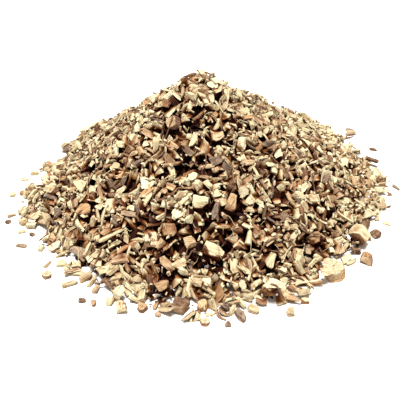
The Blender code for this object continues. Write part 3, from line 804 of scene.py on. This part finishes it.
def chipBundle(name, finish, rows, source, coarse=None, depth=None):
    # many packed chips as one piece: each kind is lofted as a whole batch, turned to its
    # chips' axes and moved to their places; each chip has its own cell of the bake map
    points, quads, triangles, quadMap, fanMap = [], [], [], [], []
    labels = {"grain": [], "tone": [], "gap": []}
    quadLabels, fanLabels = {"cork": [], "cutEnd": []}, {"cork": [], "cutEnd": []}
    base, placed = 0, 0
    for kind in kindNames:
        batch = [row for row in rows if row[0] == kind]
        if not batch:
            continue
        n = len(batch)
        rings, around = coarse or chipKinds[kind][5:7]
        centre = np.array([row[1:4] for row in batch], float)
        axes = np.array([row[4] for row in batch])
        sizes = np.array([row[5] for row in batch])
        local, bearing = loftChips(kind, sizes, source, rings, around)
        order = [0, 1, 2] if kind == "slice" else [1, 2, 0]
        world = np.einsum("npk,nkc->npc", local, axes[:, order]) + centre[:, None]
        world[:, :, 2] = world[:, :, 2].clip(0.02, plan["ceiling"] + 0.3)
        sides, ends = loftFaces(rings, around)
        count = local.shape[1]
        start = base + np.arange(n)[:, None, None] * count
        points.append(world.reshape(-1, 3))
        quads.append((sides[None] + start).reshape(-1, 4))
        triangles.append((ends[None] + start).reshape(-1, 3))
        laid = mapCells(loftMap(rings, around), placed, n, len(rows))
        quadMap.append(laid[:, :len(sides) * 4].reshape(-1, 2))
        fanMap.append(laid[:, len(sides) * 4:].reshape(-1, 2))
        shift = source.uniform(0, 60, (n, 1, 3))
        labels["grain"].append((local + shift).reshape(-1, 3))
        labels["tone"].append(np.repeat(source.uniform(0, 1, n), count))
        # painted shade of each point: from its depth under the heap's surface, or the given depth for
        # all points
        deep = paintedShadeAt(world) if depth is None else np.full(world.shape[:2], depth)
        labels["gap"].append(deep.ravel())
        # a side has cork where its bearing lies in the span that kept it
        middle = bearing + 0.5 * ((np.roll(bearing, -1, 1) - bearing) % (2 * np.pi))
        away = angleBetween(middle, source.uniform(0, 2 * np.pi, (n, 1)))
        if kind == "corkFlake":
            away = angleBetween(middle, -np.pi / 2)
        barked = (away < corkSpan(finish, kind, n, source)[:, None]).astype(float)
        quadLabels["cork"].append(np.tile(barked, (1, rings - 1)).ravel())
        quadLabels["cutEnd"].append(np.zeros(n * len(sides)))
        fanLabels["cork"].append(np.zeros(n * len(ends)))
        fanLabels["cutEnd"].append(np.ones(n * len(ends)))
        base += n * count
        placed += n
    onPoints = {label: np.concatenate(values) for label, values in labels.items()}
    onFaces = {label: np.concatenate(quadLabels[label] + fanLabels[label]) for label in quadLabels}
    points, quads, triangles = (np.concatenate(part) for part in (points, quads, triangles))
    mesh = meshFrom(name, points, quads, triangles, np.concatenate(quadMap + fanMap), onPoints, onFaces)
    mesh.shade_flat()
    return addPiece(name, mesh, rootMaterials[finish], ["chip_heap"])


# Chips of the inside show only through gaps: rings and corners of each, and its painted shade, which
# makes them nearly black for the shadow deep in the heap.
insideLook = {"rings": (2, 5), "gap": 0.92}
meshSource = np.random.default_rng(seeds["chips"])
chipBundle("packed_chips_inside", "tanWood", poured[:innerCount], meshSource,
           coarse=insideLook["rings"], depth=insideLook["gap"])


# Near the foot and near the tip, under and over these heights, more of the chips are pale.
palerMix = {"shares": np.array([2.2, 1.0, 1.0, 0.6, 0.6]), "under": 9, "over": 34}


def drawFinish(row):
    # by the shares of its kind and by the height of its place
    paler = row[6] < palerMix["under"] or row[6] > palerMix["over"]
    shares = np.array(finishShares[row[0]]) * (palerMix["shares"] if paler else 1)
    return finishNames[meshSource.choice(len(finishNames), p=shares / shares.sum())]


finishOfChip = [drawFinish(row) for row in poured[innerCount:]]
outer = poured[innerCount:] + [row for row, _ in noted]
finishOfChip += [finish for _, finish in noted]
for finish in finishNames:
    rows = [row for row, worn in zip(outer, finishOfChip) if worn == finish]
    slot = slotOfKind[finish]
    piece = chipBundle(f"packed_{slot}_chips", finish, rows, meshSource)
    print("packed", slot, len(rows), "chips,", len(piece.data.polygons), "faces")


# Crumbs and threads that lie in and on the heap: number, lengths and thicknesses, and for
# threads how far they wander (radians) and how high they arch.
smallLook = {
    "crumbs": (1800, (0.9, 2.6), (0.7, 1.6)),
    "footCrumbs": (720, (1.0, 2.4), (0.8, 1.6)),
    "strayCrumbs": (46, (0.7, 1.5), (0.6, 1.1)),
    "crumbFaces": (2, 5),
    "crumbFlat": 0.8,        # thickness over width
    "crumbLift": 0.42,       # share of its size that its middle lies over the chips below
    "hollow": (12, 0.3),     # passes of smoothing, and how far under that surface a hollow is
    "around": (60, 0.06),    # passes of smoothing of the outline, and where stray crumbs end
    "bare": 0.3,             # height under which the foot has no chips yet
    "rootlets": (70, (6.0, 15.0), (0.45, 0.85), 2.4, 0.7),
    "fibres": (260, (3.0, 8.0), (0.16, 0.32), 1.6, 0.8),
    "threadFaces": (12, 5),
}
# Which of the crumbs in the hollows and at the foot go into each piece.
crumbPieces = {
    "packed_pale_crumbs": ("paleWood", slice(0, 900), slice(0, 480)),
    "packed_wood_crumbs": ("tanWood", slice(900, 1500), slice(480, 720)),
    "packed_cork_crumbs": ("brownBark", slice(1500, 1800), slice(720, 720)),
}


def scatterCrumbs(number, lengths, sides, spots, source):
    # small chips turned at random, each on the mean height of the cells around its spot
    chosen = spots[source.choice(len(spots), number)]
    places = planLow + (chosen + source.uniform(0, 1, (number, 2))) * cell
    around = np.stack([np.roll(state["top"], (i, j), (0, 1)) for i in (-1, 0, 1) for j in (-1, 0, 1)])
    ground = around.mean(axis=0)[chosen[:, 0], chosen[:, 1]]
    turned = unit(source.normal(size=(number, 3)))
    side = unit(np.cross(turned, source.normal(size=(number, 3))))
    axes = np.stack([turned, side, np.cross(turned, side)], axis=1)
    sizes = np.stack([source.uniform(*lengths, number), source.uniform(*sides, number),
                      source.uniform(*sides, number) * smallLook["crumbFlat"]], axis=1)
    lift = np.abs(axes[:, :, 2] * sizes * smallLook["crumbLift"]).sum(axis=1)
    return [("chunk", x, y, z + up, axis, size, 0.0)
            for (x, y), z, up, axis, size in zip(places, ground, lift, axes, sizes)]


passes, deep = smallLook["hollow"]
hollows = np.argwhere(heapMask & (state["top"] < blurred(state["top"], passes) - deep))
passes, faint = smallLook["around"]
outside = np.argwhere((blurred(heapMask.astype(float), passes) > faint) & ~heapMask & ~state["guard"])
crumbs = scatterCrumbs(*smallLook["crumbs"], hollows, meshSource)
bare = np.argwhere(heapMask & (state["top"] < smallLook["bare"]))
footCrumbs = scatterCrumbs(*smallLook["footCrumbs"], bare, meshSource)
for name, (finish, inHollows, atFoot) in crumbPieces.items():
    chipBundle(name, finish, crumbs[inHollows] + footCrumbs[atFoot], meshSource,
               coarse=smallLook["crumbFaces"])
stray = scatterCrumbs(*smallLook["strayCrumbs"], outside, meshSource)
chipBundle("stray_crumbs", "tanWood", stray, meshSource,
           coarse=smallLook["crumbFaces"])
print("crumbs laid:", len(crumbs) + len(footCrumbs) + len(stray))


def layThreads(name, finish, slot, source, number, lengths, widths, curve, lift):
    # Round threads along paths that wander over the heap: the heading turns steadily, the
    # height is that of the chips below, smoothed along the path, and the ends taper to a point.
    steps, around = smallLook["threadFaces"]
    spots = np.argwhere(heapMask)
    start = planLow + (spots[source.choice(len(spots), number)] + 0.5) * cell
    length = source.uniform(*lengths, (number, 1))
    width = source.uniform(*widths, (number, 1))
    run = np.linspace(-0.5, 0.5, steps)[None]
    turn = source.uniform(0, 2 * np.pi, (number, 1)) + source.uniform(-curve, curve, (number, 1)) * run
    turn = turn + source.uniform(-curve, curve, (number, 1)) * 1.5 * run ** 2
    reach = length / steps * 0.86
    x = start[:, :1] + np.cumsum(np.cos(turn), axis=1) * reach
    y = start[:, 1:] + np.cumsum(np.sin(turn), axis=1) * reach
    spot = cellsAt(np.stack([x, y], axis=-1))
    z = state["top"][spot[..., 0], spot[..., 1]]
    for _ in range(4):
        padded = np.pad(z, ((0, 0), (1, 1)), mode="edge")
        z = 0.5 * z + 0.25 * (padded[:, :-2] + padded[:, 2:])
    z = z + width * 0.3 + lift * source.uniform(-0.3, 1, (number, 1)) * (1 - (2 * run) ** 2)
    path = np.stack([x, y, np.clip(z, width * 0.5, plan["ceiling"] - 0.3)], axis=-1)
    along = unit(np.gradient(path, axis=1))
    side = unit(np.cross(along, np.array([0.0, 0.0, 1.0])))
    up = np.cross(side, along)
    bearing = np.arange(around) * 2 * np.pi / around
    radius = (width * 0.5 * (1 - 0.75 * np.abs(2 * run) ** 5))[:, :, None, None]
    tube = path[:, :, None] + radius * (np.cos(bearing)[:, None] * side[:, :, None]
                                        + np.sin(bearing)[:, None] * up[:, :, None])
    grid = tube.reshape(number, steps * around, 3)
    points = np.concatenate([grid, path[:, [0, -1]]], axis=1)
    sides, ends = loftFaces(steps, around)
    count = points.shape[1]
    base = np.arange(number)[:, None, None] * count
    laid = mapCells(loftMap(steps, around), 0, number, number)
    walked = np.repeat(np.linspace(0, 1, steps)[None] * length, around, axis=1)
    grain = np.zeros((number, count, 3))
    grain[:, :steps * around, 2] = walked
    grain[:, :steps * around, :2] = np.tile(np.stack([np.cos(bearing), np.sin(bearing)], 1), (steps, 1))
    grain = grain + source.uniform(0, 60, (number, 1, 3))
    faces = number * (len(sides) + len(ends))
    barked = 0.0 if finish == "paleWood" else 1.0
    onPoints = {"grain": grain, "tone": np.repeat(source.uniform(0, 1, number), count),
                "gap": np.zeros(number * count)}
    onFaces = {"cork": np.full(faces, barked), "cutEnd": np.zeros(faces)}
    split = len(sides) * 4
    uv = np.concatenate([laid[:, :split].reshape(-1, 2), laid[:, split:].reshape(-1, 2)])
    mesh = meshFrom(name, points.reshape(-1, 3), (sides[None] + base).reshape(-1, 4),
                    (ends[None] + base).reshape(-1, 3), uv, onPoints, onFaces)
    mesh.shade_smooth()
    addPiece(name, mesh, rootMaterials[finish], ["chip_heap"])


layThreads("packed_rootlets", "brownBark", "brown_bark", meshSource, *smallLook["rootlets"])
layThreads("packed_fibres", "paleWood", "pale_wood", meshSource, *smallLook["fibres"])
print("rootlets and fibres laid")

# The chips that are CAD nodes.
nodeLook = {
    "grid": (30, 40),        # rings along a chip and corners around it
    "bigGrid": (64, 84),     # the same where half its length is over bigFrom
    "bigFrom": 3.6,
    "sharp": 46,             # how crisp the edges are
    "groove": 0.16,          # depth of the fibre grooves
    "corkGroove": 0.30,
    "uneven": 0.11,          # how uneven it is, over half its thickness
    "breaks": 10,            # facets where its corners broke off, fewer on a slice
    "sliceBreaks": 2,
    "largeSliceBreaks": 5,
    "breakReach": (0.56, 0.90),   # how far out they lie, over its reach that way
    "rugged": ("large_bark_chunk_front", "orange_slab_left"),   # fewer and deeper breaks
    "ruggedBreaks": 6,
    "ruggedReach": (0.42, 0.80),
    "pithDip": (0.16, 0.16),      # depth over half the thickness, and width over the radius
    "hollowDip": (1.0, 0.55),
    "cutFrom": 0.72,         # a face is cut across the grain where it faces along it this much
    "largeCutFrom": 0.3,
    "tones": (0.1, 0.8),
    "paintedShadeShare": 0.45,        # these chips lie free, so the painted shade between the chips is weaker on them
}
# Where the noted ones have cork, as a direction, and how far round it reaches in radians. The
# others follow their finish.
corkPlaces = {
    "brown_root_left_front": ((0.5, -0.6, -0.6), 1.9),
    "large_bark_chunk_front": ((-0.4, 0.2, 0.9), 0.9),
    "loose_striped_chip_front_right": ((0.3, -0.8, 0.3), 0.4),
    "loose_barked_chunk_right": ((0.5, -0.7, -0.3), 1.2),
    "loose_brown_chunk_front": ((0.6, -0.6, -0.5), 1.1),
    "orange_slab_left": ((0.2, -0.9, -0.4), 0.9),
    "pale_wedge_front": ((0.5, -0.8, -0.4), 0.8),
    "pale_wedge_right_edge": ((0.3, -0.8, -0.5), 0.7),
    "tan_stick_middle": ((0.9, 0.0, 0.0), 0.8),
    "pale_chunk_middle": ((0.2, -0.9, -0.6), 0.6),
}
sliceWords = ("slice", "disc", "oval")


def nodePlanes(name):
    # the planes of a convex node around the middle of its corners, and its three own
    # directions from longest to shortest, with half its size along each
    places, corners = nodeTriangles(name)
    points = np.unique((places / mm).round(4), axis=0)
    middle = points.mean(axis=0)
    tri = (places / mm)[corners].reshape(-1, 3, 3) - middle
    normal = np.cross(tri[:, 1] - tri[:, 0], tri[:, 2] - tri[:, 0])
    real = np.linalg.norm(normal, axis=1) > 1e-5
    normal, tri = unit(normal[real]), tri[real]
    offset = (normal * tri[:, 0]).sum(axis=1)
    planes = np.unique(np.concatenate([normal, offset[:, None]], axis=1).round(3), axis=0)
    spread = points - middle
    _, own = np.linalg.eigh(spread.T @ spread)
    own = own[:, ::-1].T
    own[2] *= np.sign(np.linalg.det(own))
    half = np.abs(spread @ own.T).max(axis=0)
    return middle, planes[:, :3], planes[:, 3], own, half, spread


def sliceRelief(name, local, half, reach, depth, seed):
    # how deep a slice is pressed in: rays that run outwards, a dip at the pith, and notches
    # in its rim
    bearing = np.arctan2(local[:, 1], local[:, 0])
    polarPlace = np.stack([np.cos(bearing), np.sin(bearing), reach * 0.3], axis=1)
    rays = waves(polarPlace, 0.16, seed)
    dip, wide = nodeLook["hollowDip" if "hollow" in name else "pithDip"]
    notches = 0.6 * waves(polarPlace, 0.6, seed + 5) + waves(polarPlace, 0.17, seed + 6)
    pressed = depth * (0.5 + 0.5 * rays) * np.clip(reach * 2.5, 0, 1)
    pressed = pressed + dip * half[2] * np.exp(-(reach / wide) ** 4)
    pressed = pressed + 0.05 * half[0] * (0.7 + notches) * np.clip(reach * 2 - 1, 0, 1)
    if name.startswith("large_"):
        pressed = pressed + 0.11 * half[2] * (1 + waves(local, 1.5, seed + 8))
    return pressed


def splitRelief(local, half, depth, seed):
    # how deep a split chip is pressed in: grooves along its fibres, torn fibres at its ends
    groove = waves(local * np.array([1, 1, 0.1]), 0.75, seed)
    groove = groove + 0.5 * waves(local * np.array([1, 1, 0.12]), 0.34, seed + 1)
    torn = waves(local * np.array([1, 1, 0.2]), 0.55, seed + 2)
    onEnd = np.clip(np.abs(local[:, 2]) / half[2] * 3 - 2, 0, 1)
    return depth * ((0.5 + 0.4 * groove) * (1 - onEnd) + (0.6 + 0.9 * torn) * onEnd)


def dressNode(name, finish, source):
    # The node's own convex form, looked at from its middle: for every direction of a grid of
    # two angles, the distance to its nearest plane, softened where planes meet. The relief is
    # then pressed in, and held off the face that it rests on.
    middle, normal, offset, own, half, spread = nodePlanes(name)
    isSlice = any(word in name for word in sliceWords)
    isLarge = name.startswith("large_")
    rugged = name in nodeLook["rugged"]
    breaks = nodeLook["breaks"]
    if isSlice:
        breaks = nodeLook["largeSliceBreaks" if isLarge else "sliceBreaks"]
    broken = unit(source.normal(size=(breaks, 3)) + [0, 0, 0.35])
    reachThere = (spread @ broken.T).max(axis=0)
    reachThere *= source.uniform(*nodeLook["ruggedReach" if rugged else "breakReach"], breaks)
    if rugged:
        broken = broken[:nodeLook["ruggedBreaks"]]
        reachThere = reachThere[:nodeLook["ruggedBreaks"]]
    normal = np.concatenate([normal, broken])
    offset = np.concatenate([offset, np.maximum(reachThere, 0.25 * half.min())])
    order = [0, 1, 2] if isSlice else [1, 2, 0]
    axes, half = own[order], half[order]
    axes[0] *= np.sign(np.linalg.det(axes))
    big = isLarge or half.max() > nodeLook["bigFrom"]
    rings, around = nodeLook["bigGrid" if big else "grid"]
    polar = np.linspace(np.pi, 0, rings + 2)[1:-1, None]
    bearing = (np.arange(around) * 2 * np.pi / around)[None]
    local = np.stack([np.sin(polar) * np.cos(bearing) * half[0],
                      np.sin(polar) * np.sin(bearing) * half[1],
                      np.cos(polar) * np.ones_like(bearing) * half[2]], axis=-1).reshape(-1, 3)
    local = unit(np.concatenate([local, [[0, 0, -1]], [[0, 0, 1]]]))
    facing = np.maximum((local @ axes) @ normal.T / offset, 0)
    distance = (facing ** nodeLook["sharp"]).sum(axis=1) ** (-1 / nodeLook["sharp"])
    local = local * distance[:, None]
    reach = np.linalg.norm(local[:, :2] / half[:2], axis=1)
    seed = int(source.integers(1, 9999))
    depth = nodeLook["corkGroove" if finish in ("brownBark", "greyBark") else "groove"]
    depth = min(depth, 0.09 * half.min() * 2)
    if isSlice:
        pressed = sliceRelief(name, local, half, reach, depth, seed)
    else:
        pressed = splitRelief(local, half, depth, seed)
    uneven = nodeLook["uneven"] * half.min()
    uneven = uneven * (1 + waves(local, 1.1 * half.max() + 0.5, seed + 3))
    height = (local @ axes + middle)[:, 2]
    held = 1.0 if name in beddedNames else np.clip((height - height.min()) / 0.5, 0, 1)
    shrink = 1 - (np.maximum(pressed, 0) + uneven) * held / np.linalg.norm(local, axis=1)
    local = local * np.maximum(shrink, 0.35)[:, None]
    world = local @ axes + middle

    # cork stays where a face's bearing lies near its place, and not where the chip is cut
    lowest = world[:, 2].min() - middle[2]
    drawnPlace = unit(source.normal(size=3) + np.array([0, 0.9, -0.6]))
    place, span = corkPlaces.get(name, (drawnPlace, None))
    place = np.array(place) @ axes.T
    if span is None:
        span = corkSpan(finish, "slice" if isSlice else "chunk", 1, source)[0]
    cutFrom = nodeLook["largeCutFrom" if isSlice and isLarge else "cutFrom"]
    sides, ends = loftFaces(rings, around)
    cork, cutEnd = [], []
    for faces in (sides, ends):
        centre = local[faces].mean(axis=1)
        a, b = local[faces[:, 1]] - local[faces[:, 0]], local[faces[:, 2]] - local[faces[:, 0]]
        facing = unit(np.cross(a, b))
        cut = np.abs(facing[:, 2]) > cutFrom
        away = angleBetween(np.arctan2(facing[:, 1] / half[0], facing[:, 0] / half[1]),
                            np.arctan2(place[1], place[0]))
        away = away + 0.16 * waves(centre, 0.8, seed + 4)
        barkHere = away < span
        if isSlice and isLarge:     # its bark is left only low on the side
            barkTop = (0.5 + 0.25 * waves(centre, 2.0, seed + 7)) * lowest
            barkHere = barkHere & (centre @ axes[:, 2] < barkTop)
        cork.append(np.where(cut, 0.0, barkHere.astype(float)))
        cutEnd.append(cut.astype(float))
    shift = np.array([0, 0, 1.0]) if isSlice else source.uniform(0, 60, 3)
    tone = np.full(len(local), source.uniform(*nodeLook["tones"]))
    # gap is the painted shade between the chips, weaker on these
    onPoints = {"grain": local + shift, "tone": tone, "gap": paintedShadeAt(world) * nodeLook["paintedShadeShare"],
                "reach": reach}
    onFaces = {"cork": np.concatenate(cork), "cutEnd": np.concatenate(cutEnd)}
    mesh = meshFrom(f"{name}_dressed", world, sides, ends, loftMap(rings, around), onPoints, onFaces)
    mesh.shade_smooth()
    material = rootMaterials[finish]
    if isSlice:
        material = sliceMaterials["hollow" if "hollow" in name else finish]
    return addPiece(f"{name}_dressed", mesh, material, [name])


sliceMaterials = {name: sliceMaterial(f"{name}Slice", kind) for name, kind in woodKinds.items()}
sliceMaterials["hollow"] = sliceMaterial("rottedPithSlice", woodKinds["greyBark"],
                                         sliceLook["rottedPith"])
slotOfNode = {part["node"]: part["material_slot"] for part in frame["record"]["subparts"]}
dressSource = np.random.default_rng(seeds["nodes"])
for name in nodeNames:
    slot = slotOfNode[name]
    dressNode(name, kindOfSlot[slot], dressSource)
print("separate chips dressed:", len(nodeNames))

floorLook = {"reach": 14.0, "steps": 4, "colour": "#F4F3F1"}    # reach in metres


def plainFloor():
    # flat matt board, a grid of two parameters
    steps = floorLook["steps"]
    across = np.linspace(-floorLook["reach"], floorLook["reach"], steps + 1)
    x, y = np.meshgrid(across, across, indexing="ij")
    points = np.stack([x.ravel(), y.ravel(), np.zeros(x.size)], axis=1)
    i, j = np.meshgrid(np.arange(steps), np.arange(steps), indexing="ij")
    first = (i * (steps + 1) + j).ravel()
    faces = np.stack([first, first + steps + 1, first + steps + 2, first + 1], axis=1)
    mesh = bpy.data.meshes.new("floor")
    mesh.from_pydata(points.tolist(), [], faces.tolist())
    made = bpy.data.materials.new("mattWhiteBoard")
    made.use_nodes = True
    shader = made.node_tree.nodes["Principled BSDF"]
    shader.inputs["Base Color"].default_value = linear(floorLook["colour"])
    shader.inputs["Roughness"].default_value = 0.9
    shader.inputs["Specular IOR Level"].default_value = 0.1
    mesh.materials.append(made)
    floor = bpy.data.objects.new("floor", mesh)
    bpy.context.scene.collection.objects.link(floor)


plainFloor()

# Studio light: a wide soft light above the heap, a little behind it on the left, so far off
# that the board is lit evenly, and a pale room.
lightLook = {
    "key": {"place": (-0.08, 0.03, 0.93), "aim": (0.0, 0.0, 0.02), "spread": 0.36, "strength": 6.8},
    "room": ("#FFFAF2", 0.35),
}


def placeLooking(name, data, look):
    # an object at its place, turned towards its aim
    holder = bpy.data.objects.new(name, data)
    holder.location = look["place"]
    heading = Vector(look["aim"]) - Vector(look["place"])
    holder.rotation_euler = heading.to_track_quat("-Z", "Y").to_euler()
    bpy.context.scene.collection.objects.link(holder)
    return holder


lamp = bpy.data.lights.new("keyLight", "SUN")
lamp.angle = lightLook["key"]["spread"]       # in radians
lamp.energy = lightLook["key"]["strength"]
placeLooking("keyLight", lamp, lightLook["key"])
room = bpy.data.worlds.new("paleRoom")
room.use_nodes = True
background = room.node_tree.nodes["Background"]
background.inputs["Color"].default_value = linear(lightLook["room"][0])
background.inputs["Strength"].default_value = lightLook["room"][1]
bpy.context.scene.world = room
bpy.context.scene.view_settings.view_transform = "Standard"

# The camera stands 38 degrees above the surface and looks a little left of the middle.
cameraLook = {"place": (0.0, -0.2049, 0.1601), "aim": (-0.0050, -0.0127, 0.0), "lens": 48.9}
lens = bpy.data.cameras.new("camera")
lens.lens = cameraLook["lens"]
lens.sensor_width = 36.0
lens.sensor_fit = "HORIZONTAL"
lens.clip_start = 0.01
bpy.context.scene.camera = placeLooking("camera", lens, cameraLook)
print("floor, light and camera set")
